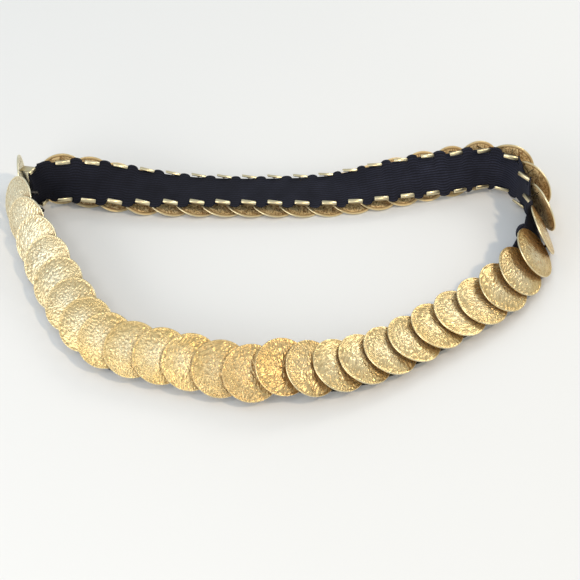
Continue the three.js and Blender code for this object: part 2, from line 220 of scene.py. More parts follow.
@dataclass(frozen=True)
class WearAndLight:
    """How the belt's wear, and the light and shade painted on its coins, change along it, as
    coin numbers and the values there.

    slip is how far the elastic has slid down the coins' backs, in millimetres. crown is the
    share of a front's extra fullness. paleness is how pale the gold is. front_hollow and
    back_hollow are how dark the hollows of the two reliefs are, and dullness is how brown a
    whole front is. painted_highlight is how much paler a front's middle is painted, as a
    highlight. painted_rim_shade and painted_rim_shade_reach are how dark and how wide, in
    millimetres, the shade painted along the rim of the coin on top is. stroke_count is how many
    times shorter the hammer's strokes are.
    opening is how far the elastic's edges bulge out between the coins.
    """

    slip: Curve = (
        (0, 2, 5, 9, 11, 13, 15, 34, 36, 38, 40, 42, 44, 48),
        (0, -0.8, -1.4, -1.3, 0.4, 0.4, 0, 0, 3.0, 3.0, 2.2, 1.0, 0, 0),
    )
    crown: Curve = ((13, 16, 33, 35), (1, 0, 0, 1))
    paleness: Curve = (
        (1, 3, 13, 20, 33, 34, 35, 41, 45, 47),
        (0.0, 0.20, 0.16, 0.30, 0.30, 1.0, 1.00, 0.26, 0.06, 0.0),
    )
    front_hollow: Curve = ((1, 8, 13, 35, 45, 47), (0.65, 0.6, 0.9, 0.8, 0.7, 0.95))
    back_hollow: Curve = ((14, 16, 17, 25, 33, 34), (1.0, 1.0, 0.9, 1.0, 1.0, 0.1))
    dullness: Curve = ((1, 3, 44, 47), (0.35, 0.0, 0.0, 0.3))
    # Strength of the highlight painted on each front's middle.
    painted_highlight: Curve = ((1, 3, 9, 12, 35, 45, 47), (0.2, 0.4, 0.4, 0.6, 0.65, 0.6, 0.3))
    # Shade painted along the rim of the coin on top: how dark, and how wide in millimetres.
    painted_rim_shade: Curve = ((9, 12, 35), (0.2, 0.8, 0.55))
    painted_rim_shade_reach: Curve = ((9, 12, 13, 35), (1.3, 3.2, 3.2, 1.3))
    stroke_count: Curve = ((13, 35), (1, 1.9))
    opening: Curve = ((10.5, 11.5, 14, 15, 32, 34.5), (0, 2.0, 2.0, 1, 1, 0))

    def at(self, curve: str, coin: int) -> float:
        """Value of a curve at a coin, straight between the coins that it names."""
        return float(np.interp(coin, *getattr(self, curve)))


SIZE = CoinSize()
WEAR_AND_LIGHT = WearAndLight()


@dataclass
class ClipFrame:
    """Where one coin's clips are: the middle of the elastic there and three directions."""

    origin: Array
    forward: Array
    up: Array
    out: Array

    def lowered(self, coin: int) -> "ClipFrame":
        """The frame as low on a coin's back as the elastic has slipped there."""
        shift = WEAR_AND_LIGHT.at("slip", coin) * MM
        return ClipFrame(self.origin - shift * self.up, self.forward, self.up, self.out)

    def place(self, forward: Array, up: Array, out: Array) -> Array:
        """Points in the part's frame from distances along the three directions."""
        steps = [np.asarray(step)[..., None] for step in (forward, up, out)]
        return (
            self.origin + steps[0] * self.forward + steps[1] * self.up + steps[2] * self.out
        )

    def put(self, points: Array) -> Array:
        """Points in the part's frame from points on the frame's own axes."""
        return self.place(points[..., 0], points[..., 1], points[..., 2])

    def local(self, points: Array) -> Array:
        """Distances along the three directions of points in the part's frame."""
        away = points - self.origin
        return np.stack([away @ self.forward, away @ self.up, away @ self.out], axis=-1)

    def turned(self, forward: float, out: float, splay: float) -> "ClipFrame":
        """The frame moved along itself and turned about its own up direction.

        Args:
            forward: Distance moved forward.
            out: Distance moved out.
            splay: Turn in degrees that lowers the front end.

        Returns:
            The new frame.
        """
        turn = math.radians(splay)
        ahead = math.cos(turn) * self.forward - math.sin(turn) * self.out
        outward = math.sin(turn) * self.forward + math.cos(turn) * self.out
        return ClipFrame(self.place(forward, 0.0, out), ahead, self.up, outward)

    def leaned(self, rise: Array, pitch: float) -> "ClipFrame":
        """The frame shifted and then leaned back about its own forward direction.

        Args:
            rise: Shift, in the part's frame.
            pitch: Turn in degrees that lifts the out direction.

        Returns:
            The new frame.
        """
        turn = math.radians(pitch)
        out = math.cos(turn) * self.out + math.sin(turn) * self.up
        up = math.cos(turn) * self.up - math.sin(turn) * self.out
        return ClipFrame(self.origin + rise, self.forward, up, out)


def unit(vector: Array) -> Array:
    """The vector at length 1."""
    return vector / np.linalg.norm(vector, axis=-1, keepdims=True)


@dataclass
class Course:
    """The closed line in which the belt lies, as rows at some of its coins."""

    rows: tuple[Lie, ...] = COURSE
    size: CoinSize = SIZE
    halfway: float = 8 * MM

    def knot(self, column: str, index: int) -> tuple[float, float]:
        """Coin number and value of one row, where the rows go round and round.

        Args:
            column: Name of a field of Lie.
            index: Number of the row, which may lie before the first or past the last.

        Returns:
            The coin's number, counted on through the laps, and the value there.
        """
        lap, row = divmod(index, len(self.rows))
        return self.rows[row].coin + lap * COINS, getattr(self.rows[row], column)

    def at(self, column: str, place: float) -> float:
        """Value of one column at any place, on a smooth closed curve through the rows.

        Args:
            column: Name of a field of Lie.
            place: Number of the coin, with a fraction between coins.

        Returns:
            The value, in the column's own unit.
        """
        later = (i for i, row in enumerate(self.rows) if row.coin > place)
        after = next(later, len(self.rows))
        near = [self.knot(column, after + step) for step in (-2, -1, 0, 1)]
        (at0, v0), (at1, v1), (at2, v2), (at3, v3) = near
        span = at2 - at1
        slope1 = (v2 - v0) / (at2 - at0) * span
        slope2 = (v3 - v1) / (at3 - at1) * span
        t = (place - at1) / span
        rise = v2 - v1
        bend = 3 * rise - 2 * slope1 - slope2
        return v1 + t * slope1 + t**2 * bend + t**3 * (slope1 + slope2 - 2 * rise)

    def above(self, place: float) -> Array:
        """Middle of the elastic at a place, seen from above, still at height 0."""
        return np.array([self.at("x", place), self.at("y", place), 0.0]) * MM

    def below(self, forward: Array, up: Array, out: Array) -> float:
        """How far a coin with its clips and elastic reaches below their middle.

        Args:
            forward: Direction along the belt at the coin.
            up: Direction across the elastic's width.
            out: Direction that the coin's face looks in.

        Returns:
            The distance, down from the middle of the elastic.
        """
        size = self.size
        slant = math.sqrt(1 - out[2] ** 2)
        middle = out[2] * size.standoff
        sheet = [(r, size.dome_at(r)) for r in (0.0, self.halfway, size.radius)]
        profile = sheet + [(r, h + size.thickness) for r, h in sheet]
        reach = [r * slant - h * out[2] - middle - size.table_trim for r, h in profile]
        far = size.tab_depth + size.clip_sheet
        for side in (-1, 1):
            for f, u, n in (
                (size.clip_front, side * size.clip_outer, -far),
                (size.clip_back, side * size.clip_outer, -far),
                (0.0, side * ELASTIC_FREE / 2, -ELASTIC_THICKNESS / 2),
            ):
                reach.append(-(f * forward[2] + u * up[2] + n * out[2]))
        return max(reach)

    def clip_frame(self, coin: int, along: Array) -> ClipFrame:
        """Frame of one coin's clips, leaned, tilted and set down on the table.

        Args:
            coin: The coin's number.
            along: Direction of the belt there.

        Returns:
            The frame, still round the course's own origin.
        """
        level = unit(np.array([along[1], -along[0], 0.0]))
        rise = np.cross(level, along)
        lean = math.radians(self.at("lean", coin))
        tilt = math.radians(self.at("tilt", coin))
        facing = level * math.cos(lean) + rise * math.sin(lean)
        up = rise * math.cos(lean) - level * math.sin(lean)
        forward = along * math.cos(tilt) + np.cross(up, along) * math.sin(tilt)
        out = facing * math.cos(tilt) + np.cross(up, facing) * math.sin(tilt)
        origin = self.above(coin)
        origin[2] = self.below(forward, up, out) + self.at("lift", coin) * MM
        return ClipFrame(origin, forward, up, out)

    def frames(self) -> list[ClipFrame]:
        """Sets every coin down, first along the course and then along its neighbours.

        Returns:
            Frames of all coins in the part's frame, in the coins' order.
        """
        numbers = range(1, COINS + 1)
        ways = [unit(self.above(n + 0.5) - self.above(n - 0.5)) for n in numbers]
        level = [self.clip_frame(n, way) for n, way in zip(numbers, ways)]
        made = []
        for index, n in enumerate(numbers):
            ahead = level[(index + 1) % COINS].origin
            behind = level[index - 1].origin
            made.append(self.clip_frame(n, unit(ahead - behind)))
        for one in made:
            one.origin = one.origin + COURSE_TO_FRAME
        return made


# ---- meshes -----------------------------------------------------------------------


@dataclass
class Sheath:
    """Points and faces gathered for one piece, with numbers that its finish reads."""

    points: list[Array] = field(default_factory=list)
    corners: list[Array] = field(default_factory=list)
    counts: list[Array] = field(default_factory=list)
    slots: list[Array] = field(default_factory=list)
    marks: dict[str, list[Array]] = field(default_factory=dict)
    size: int = 0

    def add(self, points: Array, faces: Iterable[Array], slot: int, **marks: Array) -> None:
        """Adds a part.

        Args:
            points: Its points, in the part's frame.
            faces: Arrays of faces, each array with a fixed number of corners a face.
            slot: Number of the finish on all its faces.
            **marks: Numbers at the points, or one number for all of them.
        """
        flat = points.reshape(-1, 3)
        for group in faces:
            group = np.asarray(group).reshape(-1, np.shape(group)[-1])
            self.corners.append((group + self.size).ravel())
            self.counts.append(np.full(len(group), group.shape[-1]))
            self.slots.append(np.full(len(group), slot))
        for name in set(self.marks) | set(marks):
            held = self.marks.setdefault(name, [np.zeros(self.size)] if self.size else [])
            held.append(np.broadcast_to(np.ravel(marks.get(name, 0.0)), len(flat)))
        self.points.append(flat)
        self.size += len(flat)

    def build(self, name: str, finishes: Sequence[bpy.types.Material]) -> bpy.types.Object:
        """Makes the piece.

        Args:
            name: Name of the object.
            finishes: Its materials, in the order of the slot numbers.

        Returns:
            The new object, smooth all over.
        """
        points = np.concatenate(self.points)
        points[:, 2] = np.maximum(points[:, 2], TABLE_GAP)
        corners = np.concatenate(self.corners)
        counts = np.concatenate(self.counts)
        mesh = bpy.data.meshes.new(name)
        mesh.vertices.add(len(points))
        mesh.vertices.foreach_set("co", points.astype(np.float32).ravel())
        mesh.loops.add(len(corners))
        mesh.loops.foreach_set("vertex_index", corners.astype(np.int32))
        mesh.polygons.add(len(counts))
        starts = np.concatenate([[0], np.cumsum(counts)[:-1]])
        mesh.polygons.foreach_set("loop_start", starts.astype(np.int32))
        mesh.polygons.foreach_set(
            "material_index", np.concatenate(self.slots).astype(np.int32)
        )
        mesh.polygons.foreach_set("use_smooth", np.ones(len(counts), bool))
        for finish in finishes:
            mesh.materials.append(finish)
        for mark, values in self.marks.items():
            layer = mesh.attributes.new(mark, "FLOAT", "POINT")
            layer.data.foreach_set("value", np.concatenate(values).astype(np.float32))
        mesh.update(calc_edges=True)
        mesh.validate()
        return linked(name, mesh)


def linked(name: str, data: bpy.types.ID) -> bpy.types.Object:
    """Makes an object of a mesh, a light or a camera, and puts it in the scene.

    Args:
        name: Name of the object.
        data: What it is made of.

    Returns:
        The new object.
    """
    made = bpy.data.objects.new(name, data)
    bpy.context.scene.collection.objects.link(made)
    return made


def net(rows: int, columns: int, closed: bool = False) -> Array:
    """Four-cornered faces over a net of points.

    Args:
        rows: Rows of points.
        columns: Points in a row.
        closed: Whether each row joins up with its own start.

    Returns:
        The faces, as numbers of points row after row.
    """
    last = columns if closed else columns - 1
    row, column = np.meshgrid(np.arange(rows - 1), np.arange(last), indexing="ij")
    beside = (column + 1) % columns
    faces = [
        row * columns + column,
        row * columns + beside,
        (row + 1) * columns + beside,
        (row + 1) * columns + column,
    ]
    return np.stack(faces, axis=-1).reshape(-1, 4)


def tube(rings: Array) -> list[Array]:
    """Faces of a closed solid through rings of points, first to last.

    Args:
        rings: Points as rings, points in a ring, coordinates.

    Returns:
        Faces of the side, then of the two ends.
    """
    count, around = rings.shape[:2]
    ends = np.arange(around)
    return [net(count, around, True), ends[::-1][None], (ends + (count - 1) * around)[None]]


def soft_corners(wide: Span, high: Span, bevel: float) -> list[Span]:
    """Corners of a rectangle whose four corners are cut off.

    Args:
        wide: Its left and right sides.
        high: Its bottom and top.
        bevel: How much of each side a cut takes.

    Returns:
        The eight corners, counter-clockwise from the left end of the bottom.
    """
    (left, right), (bottom, top) = wide, high
    return [
        (left + bevel, bottom), (right - bevel, bottom),
        (right, bottom + bevel), (right, top - bevel),
        (right - bevel, top), (left + bevel, top),
        (left, top - bevel), (left, bottom + bevel),
    ]


# ---- finishes ---------------------------------------------------------------------


class Board:
    """The nodes of one material, added and joined in short calls."""

    def __init__(self, name: str) -> None:
        """Starts a material with a plain shader.

        Args:
            name: Name of the material.
        """
        self.material = bpy.data.materials.new(name)
        self.material.use_nodes = True
        self.tree = self.material.node_tree
        self.shader = self.tree.nodes["Principled BSDF"]

    def node(self, kind: str, inputs: dict | None = None, **settings: object) -> bpy.types.Node:
        """Adds a node.

        Args:
            kind: Type of the node, without its prefix.
            inputs: Sockets by name or number, each a value or a socket to join.
            **settings: The node's own settings.

        Returns:
            The node.
        """
        made = self.tree.nodes.new("ShaderNode" + kind)
        for key, value in settings.items():
            setattr(made, key, value)
        for key, value in (inputs or {}).items():
            self.give(made.inputs[key], value)
        return made

    def give(self, socket: Socket, value: object) -> None:
        """Sets a socket to a value, or joins it to another socket.

        Args:
            socket: The socket.
            value: A number, a colour or a socket.
        """
        if isinstance(value, bpy.types.NodeSocket):
            self.tree.links.new(value, socket)
        else:
            socket.default_value = value

    def shade(self, **inputs: object) -> None:
        """Sets or joins the shader's sockets, named with _ for a space."""
        for key, value in inputs.items():
            self.give(self.shader.inputs[key.replace("_", " ")], value)

    def math(self, kind: str, *values: object) -> Socket:
        """The result of a sum on one to three values or sockets."""
        return self.node("Math", dict(enumerate(values)), operation=kind).outputs[0]

    def mix(self, share: object, low: object, high: object) -> Socket:
        """A colour between two.

        Args:
            share: How much of the second colour there is, a number or a socket.
            low: The first, a colour or a socket.
            high: The second, a colour or a socket.

        Returns:
            The socket of the mixed colour.
        """
        made = self.node("Mix", data_type="RGBA")
        self.give(made.inputs[0], share)
        for socket, value in ((made.inputs[6], low), (made.inputs[7], high)):
            self.give(socket, (*value, 1.0) if isinstance(value, tuple) else value)
        return made.outputs[2]

    def range(self, value: object, source: Span, target: Span) -> Socket:
        """A value carried from one range to another and kept inside it."""
        sockets = dict(enumerate((value, *source, *target)))
        return self.node("MapRange", sockets).outputs[0]

    def noise(self, where: Socket, scale: float, detail: float, rough: float = 0.5) -> Socket:
        """Cloudy noise over the surface.

        Args:
            where: The coordinates that it is laid out on.
            scale: How many clouds there are to a unit.
            detail: How many times the clouds are broken up.
            rough: How strong the smaller clouds are.

        Returns:
            The socket of its strength, from 0 to 1.
        """
        inputs = {"Vector": where, "Scale": scale, "Detail": detail, "Roughness": rough}
        return self.node("TexNoise", inputs).outputs[0]

    def mark(self, name: str) -> Socket:
        """The number that the mesh holds at each point under a name."""
        return self.node("Attribute", attribute_name=name).outputs["Fac"]

    def place(self) -> Socket:
        """Coordinates of the surface, in metres."""
        return self.node("TexCoord").outputs["Object"]


class Struck(Enum):
    """How the surface of a gold piece was struck."""

    HAMMERED = "hammered"
    MINTED = "minted"
    ROLLED = "rolled"


@dataclass(frozen=True)
class GoldPlate:
    """Gold-tone plate on thin steel, read from the marks that the pieces hold.

    "tone" is how pale the gold is, with a highlight painted into it on the fronts; "hollow" is
    how brown it is, from patina in the relief's hollows, all over some fronts, and on the
    fronts from shade painted along the rim of the coin on top; "soot" is shade painted on the
    clips' webs and the near black of the clips at the bends; and "stroke_u" and "stroke_v" are
    a place's distances across and along the tool marks, in millimetres.
    """

    struck: Struck
    pale: Colour = (0.86, 0.79, 0.57)
    warm: Colour = (0.70, 0.50, 0.20)
    # Paler gold laid in random clouds, as rubbed patches.
    rubbed_and_highlit: Colour = (0.90, 0.80, 0.54)
    hollow: Colour = (0.48, 0.29, 0.12)
    # Near black for the shade painted on the clips' webs and for the clips at the bends.
    soot: Colour = (0.010, 0.010, 0.016)
    metallic: float = 0.8
    roughness: float = 0.28
    rougher: Span = (0.08, -0.04)
    stroke: Span = (0.8, 2.8)
    peens: float = 900.0
    peen_share: float = 0.15
    grains: float = 1800.0
    grain_share: float = 0.25
    clouds: float = 70.0
    height: float = 0.16 * MM
    bump: float = 0.75

    def relief(self, board: Board) -> Socket:
        """Height of the fine tool marks, or of the rolled sheet's grain.

        Args:
            board: The material's nodes.

        Returns:
            The socket of the height, from about 0 to 1.
        """
        if self.struck is Struck.ROLLED:
            grain = board.noise(board.place(), self.grains, 2.0)
            return board.math("MULTIPLY", grain, self.grain_share)
        across = board.math("DIVIDE", board.mark("stroke_u"), self.stroke[0])
        along = board.math("DIVIDE", board.mark("stroke_v"), self.stroke[1])
        marks = board.node("CombineXYZ", {0: across, 1: along}).outputs[0]
        tall = board.range(board.noise(marks, 1.0, 1.0), (0.36, 0.64), (0.0, 1.0))
        peens = board.node("TexVoronoi", {"Vector": board.place(), "Scale": self.peens})
        peens = board.math("MULTIPLY", peens.outputs[0], self.peen_share)
        return board.math("SUBTRACT", tall, peens)

    def material(self) -> bpy.types.Material:
        """Makes the material.

        Returns:
            The material.
        """
        board = Board(f"{self.struck.value} gold plate")
        gold = board.mix(board.mark("tone"), self.warm, self.pale)
        cloud = board.noise(board.place(), self.clouds, 3.0)
        gold = board.mix(board.range(cloud, (0.35, 0.7), (0.0, 0.25)), gold, self.rubbed_and_highlit)
        # Brown of the patina in the hollows, and on the fronts the shade painted along the rim
        # of the coin on top.
        gold = board.mix(board.mark("hollow"), gold, self.hollow)
        # Shade painted on the clips' webs, and the clips at the bends made near black.
        gold = board.mix(board.mark("soot"), gold, self.soot)
        height = self.relief(board)
        bump = {"Height": height, "Distance": self.height, "Strength": self.bump}
        worn = (self.roughness + self.rougher[0], self.roughness + self.rougher[1])
        board.shade(
            Base_Color=gold, Metallic=self.metallic,
            Roughness=board.range(height, (0.0, 0.9), worn),
            Normal=board.node("Bump", bump).outputs[0],
        )
        return board.material


@dataclass(frozen=True)
class WovenElastic:
    """Ribbed woven elastic, read from the marks "along" and "across" in metres."""

    yarn: Colour = (0.003, 0.003, 0.006)
    worn: Colour = (0.038, 0.041, 0.070)
    sheen: Colour = (0.5, 0.52, 0.62)
    rib: float = ELASTIC_FREE / 16
    pick: float = 0.8 * MM
    pick_share: float = 0.35
    fuzz: float = 2500.0
    fuzz_share: float = 0.5
    clouds: float = 90.0
    plainer: Span = (0.3, 0.42)
    plainest: float = 0.55
    height: float = 0.12 * MM
    bump: float = 0.6

    def material(self) -> bpy.types.Material:
        """Makes the material, whose ribs show less and less along the belt.

        Returns:
            The material.
        """
        board = Board("ribbed black elastic")
        where = board.place()
        along = board.mark("along")
        across = board.mark("across")
        warp = board.math("SINE", board.math("MULTIPLY", across, math.pi / self.rib))
        shifted = board.math("MULTIPLY", board.math("SIGN", warp), math.pi / 2)
        turn = board.math("MULTIPLY", along, 2 * math.pi / self.pick)
        weft = board.math("SINE", board.math("ADD", turn, shifted))
        fuzz = board.noise(where, self.fuzz, 3.0, 0.7)
        weft = board.math("MULTIPLY", weft, self.pick_share)
        knit = board.math("ADD", weft, board.math("ABSOLUTE", warp))
        height = board.math("ADD", knit, board.math("MULTIPLY", fuzz, self.fuzz_share))
        cloud = board.noise(where, self.clouds, 3.0, 0.6)
        raised = board.math("MULTIPLY", board.range(height, (0.5, 1.3), (0.0, 1.0)), cloud)
        plain = board.range(along, self.plainer, (1.0, self.plainest))
        raised = board.math("MULTIPLY", raised, plain)
        bump = {"Height": height, "Distance": self.height, "Strength": self.bump}
        board.shade(
            Base_Color=board.mix(raised, self.yarn, self.worn), Roughness=0.88,
            Normal=board.node("Bump", bump).outputs[0], Specular_IOR_Level=0.2,
            Sheen_Weight=0.08, Sheen_Roughness=0.5, Sheen_Tint=(*self.sheen, 1.0),
        )
        return board.material


@dataclass(frozen=True)
class TableTop:
    """A pale matt table."""

    colour: Colour = (0.805, 0.805, 0.81)
    darker: float = 0.97
    clouds: float = 6.0

    def material(self) -> bpy.types.Material:
        """Makes the material.

        Returns:
            The material.
        """
        board = Board("pale table")
        cloud = board.noise(board.place(), self.clouds, 2.0)
        share = board.range(cloud, (0.3, 0.7), (0.0, 0.25))
        darker = tuple(self.darker * part for part in self.colour)
        board.shade(Base_Color=board.mix(share, self.colour, darker), Roughness=0.75)
        return board.material


# ---- coins ------------------------------------------------------------------------

# Coins at the two bends, those of the back run, and those whose webs get deeper painted shade.
RIGHT_BEND = range(11, 14)
LEFT_BEND = range(35, 39)
BACK_RUN = range(14, 34)
DEEP_SHADED_WEBS = range(1, 19)

# Numbers of a coin's finishes, in the order in which its pieces are given them.
HAMMERED, MINTED, ROLLED = range(3)


class Face(Enum):
    """The two faces of a coin."""

    FRONT = 1
    BACK = -1


def ring_line(radius: Array, middle: float, width: float) -> Array:
    """How much a soft ring line covers each radius, from 0 to 1."""
    return np.exp(-(((radius - middle) / width) ** 2))


@dataclass(frozen=True)
class Clip:
    """A short clip, bent from a coin's back over one edge of the elastic.

    neck and tab are the rear and front sides of its web and of its wide end; web_painted_shade
    is how much shade is painted on the web, and tab_soot how near black the whole clip is made,
    as at the bends, both from 0 to 1.
    """

    neck: Span
    tab: Span
    web_painted_shade: float
    tab_soot: float
    size: CoinSize = SIZE
    bend: float = 0.75 * MM
    bend_steps: int = 6
    bevel: float = 0.12 * MM
    web: tuple[float, ...] = (0.0, -1.4 * MM, -2.1 * MM)
    widens: float = -1.2 * MM
    tip: tuple[float, ...] = (0.5 * MM, 0.3 * MM, 0.1 * MM, 0.0)
    rounding: tuple[float, ...] = (0.08 * MM, 0.25 * MM, 0.5 * MM)

    @property
    def half(self) -> float:
        """Half the thickness of the sheet."""
        return self.size.clip_sheet / 2

    @property
    def depth(self) -> float:
        """How far the tab's sheet lies behind the middle of the elastic."""
        return self.size.tab_depth + self.half

    def line(self) -> Array:
        """Middle of the sheet, from the coin's back to the tip of the tab.

        Returns:
            Places as up and out, one a row.
        """
        size = self.size
        middle = size.clip_outer - self.half
        root = size.standoff + float(size.dome_at(middle)) + size.thickness / 2
        end = size.clip_outer - size.tab_reach
        turns = np.linspace(0, math.pi / 2, self.bend_steps)
        ups = [middle] * (1 + len(self.web))
        ups += [*(middle - self.bend + self.bend * np.cos(turns))]
        ups += [end + step for step in self.tip]
        outs = [root, *self.web]
        outs += [*(-self.depth + self.bend - self.bend * np.sin(turns))]
        outs += [-self.depth] * len(self.tip)
        return np.column_stack([ups, outs])

    def through(self, line: Array) -> Array:
        """Directions through the sheet at the points of its line.

        Args:
            line: The line, which starts straight down and ends straight inwards.

        Returns:
            Directions as up and out, one a row.
        """
        ahead = unit(np.gradient(line, axis=0))
        ahead[: 1 + len(self.web)] = (0, -1)
        ahead[-len(self.tip) :] = (-1, 0)
        return np.column_stack([ahead[:, 1], -ahead[:, 0]])

    def sides(self, line: Array) -> tuple[Array, Array]:
        """Where the clip's rear and front sides are at the points of its line.

        Args:
            line: The line.

        Returns:
            Distances forward of the rear side and of the front side.
        """
        corner = np.zeros(len(line))
        corner[-len(self.rounding) :] = self.rounding
        spread = 1 - ease(line[:, 1], self.bend - self.depth, self.widens)
        rear = self.neck[0] + (self.tab[0] - self.neck[0]) * spread + corner
        front = self.neck[1] + (self.tab[1] - self.neck[1]) * spread - corner
        return rear, front

    def soot(self, line: Array) -> Array:
        """How dark the clip is painted at the points of its line, from 0 to 1: shade over the
        web, fading out round the bend, and near black all over at the bends.
        """
        dark = ease(line[:, 1], 0.2 * MM - self.depth, self.bend - self.depth)
        return np.maximum(self.web_painted_shade * dark, self.tab_soot)

    def add(self, sheath: Sheath, where: ClipFrame, side: int) -> None:
        """Adds the clip to a piece.

        Args:
            sheath: Gathers the piece's faces.
            where: Frame of the coin's clips.
            side: The elastic's edge, -1 for the lower and 1 for the upper.
        """
        line = self.line()
        rings = []
        for (up, out), (way_up, way_out), rear, front in zip(
            line, self.through(line), *self.sides(line)
        ):
            section = soft_corners((rear, front), (-self.half, self.half), self.bevel)
            rings.append([(f, side * (up + way_up * h), out + way_out * h) for f, h in section])
        rings = np.array(rings)[:, ::-side]
        # Shade painted on the web; at the bends the whole clip near black.
        soot = np.repeat(self.soot(line), rings.shape[1])
        sheath.add(where.put(rings), tube(rings), ROLLED, tone=0.6, soot=soot)


@dataclass
class Coin:
    """One coin and the two clips on its back."""

    number: int
    clips: ClipFrame
    size: CoinSize = SIZE
    cells: int = 60
    chamfer: float = 0.14 * MM
    lip: float = 0.75 * MM
    back_lip: float = 1.15 * MM
    lip_height: float = 0.12 * MM
    groove: float = 13.9 * MM
    strike_depth: float = 0.40 * MM
    mint_depth: float = 0.36 * MM
    fullness: float = 0.75 * MM
    drift: float = 5 * MM
    bent: float = 0.9 * MM
    pole: float = 19.0
    uneven: float = 0.14
    neck: Span = (-1.0 * MM, 2.2 * MM)
    thin_neck: Span = (0.4 * MM, 0.7 * MM)
    tab: Span = (-3.7 * MM, 4.9 * MM)
    thin_tab: Span = (-0.4 * MM, 1.6 * MM)
    # Shade painted on the webs, deeper on some coins, and the clips at the bends made near
    # black.
    web_painted_shade: float = 0.55
    deep_web_painted_shade: float = 0.95
    bend_clip_black: float = 0.96
    back_finish: int = MINTED
    cover: ClipFrame | None = None

    @property
    def crown(self) -> float:
        """How much fuller the front's dome is than the sheet's; none on the table."""
        return self.fullness * WEAR_AND_LIGHT.at("crown", self.number)

    @property
    def tone(self) -> float:
        """How pale the coin's gold is, as each coin differs a little from the next.

        Returns:
            The paleness, from 0 to 1.
        """
        chance = float(scatter(np.array(self.number), np.array(1), 5))
        fresh = WEAR_AND_LIGHT.at("paleness", self.number)
        return min(max(fresh + self.uneven * (chance - 0.5), 0.0), 1.0)

    @property
    def disc(self) -> ClipFrame:
        """Frame of the coin's disc, with the back's rim at out 0."""
        return self.clips.turned(0.0, self.size.standoff, 0.0)

    @property
    def clip(self) -> Clip:
        """The clip on each side, narrow where it shows on edge or from behind, with shade
        painted on its web, and near black where it shows on edge.

        Returns:
            The clip.
        """
        on_edge = self.number in (*RIGHT_BEND, *LEFT_BEND)
        neck = self.thin_neck if self.number in BACK_RUN else self.neck
        tab = self.thin_tab if on_edge else self.tab
        web_painted_shade = self.deep_web_painted_shade if self.number in DEEP_SHADED_WEBS else self.web_painted_shade
        tab_soot = self.bend_clip_black if on_edge else 0.0
        return Clip(tab if on_edge else neck, tab, web_painted_shade, tab_soot)

    def grid(self) -> Array:
        """A net of points that fills the unit disc.

        Returns:
            Its points, as rows and columns.
        """
        line = np.linspace(-1, 1, self.cells + 1)
        u, v = np.meshgrid(line, line, indexing="ij")
        wide = np.abs(u) >= np.abs(v)
        reach = np.where(wide, u, v)
        other = np.where(wide, v, u)
        share = np.divide(other, reach, out=np.zeros_like(u), where=reach != 0)
        turn = np.where(wide, share * math.pi / 4, math.pi / 2 - share * math.pi / 4)
        return np.stack([reach * np.cos(turn), reach * np.sin(turn)], axis=-1)

    def border(self) -> Array:
        """Finds the net's outermost points.

        Returns:
            Their numbers, once round.
        """
        n = self.cells
        index = np.arange((n + 1) ** 2).reshape(n + 1, n + 1)
        sides = index[:-1, 0], index[-1, :-1], index[:0:-1, -1], index[0, :0:-1]
        return np.concatenate(sides)

    def wander(self, flat: Array, seed: int) -> Array:
        """Slow random shifts that keep a pattern from lying straight, from -1 to 1."""
        slow = flat / self.drift
        return np.stack([ripple(slow, seed), ripple(slow + 40.5, seed + 1)], axis=-1)

    def strike(self, flat: Array, face: Face) -> Array:
        """Depth of the pattern struck into one face, from 0 on top to 1 in its hollows.

        Args:
            flat: Places on the coin, forward and up from its middle.
            face: Which face.

        Returns:
            Depths, one for each place.
        """
        if face is Face.BACK:
            seed = self.number * 10 + 5
            swirl = flat + self.wander(flat, seed) * 3.2 * MM
            lines = 1 - np.abs(ripple(swirl / (2.3 * MM), seed + 2)) * 2.8
            leaves = 1 - np.abs(ripple(swirl / (1.5 * MM) + 9.3, seed + 3)) * 2.8
            return ease(np.maximum(lines, leaves), 0.4, 0.95)
        seed = self.number * 10
        marks = 0.5 - 0.75 * ripple(self.strokes(flat) / np.array([1.0, 2.7]), seed + 2)
        swayed = flat + self.wander(flat, seed) * self.bent
        dots = 1 - nearest_dot(swayed / (1.5 * MM), seed + 3) * 1.7
        return np.clip(marks - 0.35 * np.clip(dots, 0, 1), 0, 1)

    def strokes(self, flat: Array) -> Array:
        """Places' distances across and along the hammer's strokes, in millimetres.

        The strokes run round a pole that lies outside the coin.

        Args:
            flat: Places on the coin, forward and up from its middle.

        Returns:
            The two distances at each place.
        """
        start = 2 * math.pi * scatter(np.array(self.number), np.array(3), 1)
        pole = self.pole * MM * np.array([math.cos(start), math.sin(start)])
        away = flat + self.wander(flat, self.number * 10) * self.bent - pole
        reach = np.hypot(away[..., 0], away[..., 1]) / MM
        turn = np.arctan2(-away @ np.array([-pole[1], pole[0]]), -away @ pole)
        shorter = WEAR_AND_LIGHT.at("stroke_count", self.number)
        return np.stack([reach, turn * self.pole * shorter], axis=-1)

    def face_points(self, face: Face) -> tuple[Array, Array]:
        """Points of one face on the disc's own axes, and how hollow each place is.

        Args:
            face: Which face.

        Returns:
            Points as forward, up and out, and the depths from 0 to 1.
        """
        size = self.size
        inner = size.radius - self.chamfer
        flat = self.grid() * inner
        radius = np.hypot(flat[..., 0], flat[..., 1])
        lip = size.radius - (self.lip if face is Face.FRONT else self.back_lip)
        inside = 1 - ease(radius, lip - 0.35 * MM, lip)
        depth = self.strike(flat, face) * inside
        height = size.dome_at(radius)
        if face is Face.FRONT:
            on_lip = ease(radius, lip - 0.1 * MM, lip + 0.2 * MM)
            height = height + size.thickness + self.crown * (1 - (radius / inner) ** 2)
            height = height - self.strike_depth * depth + self.lip_height * (on_lip - 1)
            depth = np.maximum(depth, 0.75 * ring_line(radius, self.groove, 0.35 * MM))
        else:
            groove = ring_line(radius, lip - 0.45 * MM, 0.40 * MM)
            depth = np.maximum(depth * inside, groove)
            height = height + self.mint_depth * depth
        return np.concatenate([flat, height[..., None]], axis=-1), depth

